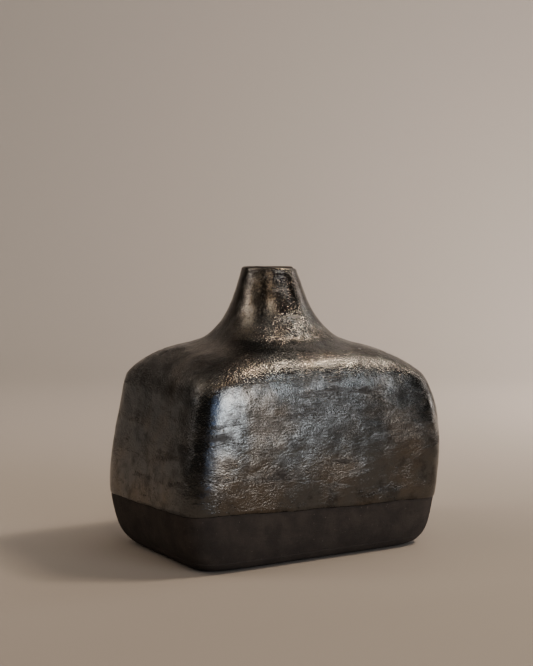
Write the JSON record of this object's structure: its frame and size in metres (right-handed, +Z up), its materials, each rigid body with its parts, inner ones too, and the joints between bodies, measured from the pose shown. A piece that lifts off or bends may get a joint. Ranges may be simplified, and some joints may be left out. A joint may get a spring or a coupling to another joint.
{
  "type": "squared bottle vase",
  "caption": "Soft-cornered rectangular stoneware bottle vase with a sloping shoulder, a slim flared neck and a bare clay foot band.",
  "frame": {"origin": "centre of the foot, on the surface that the vase stands on", "axes": "+Z up through the neck; +X along the long side of the body, +Y along its short side; the wide front faces -Y"},
  "size_m": [0.205, 0.141, 0.1959],
  "materials": {
    "black_clay": "bare fired black clay, matte with fine grog",
    "metallic_glaze": "dark metallic glaze, rippled and pinholed, satin to glossy",
    "liner_glaze": "dark glaze, semi-gloss"
  },
  "bodies": {
    "root": {"floor_slab": "black_clay", "front_wall": "black_clay", "back_wall": "black_clay", "left_wall": "black_clay", "right_wall": "black_clay", "shoulder": "black_clay", "neck": "black_clay", "outer_glaze": "metallic_glaze", "liner_glaze": "liner_glaze"}
  },
  "joints": []
}
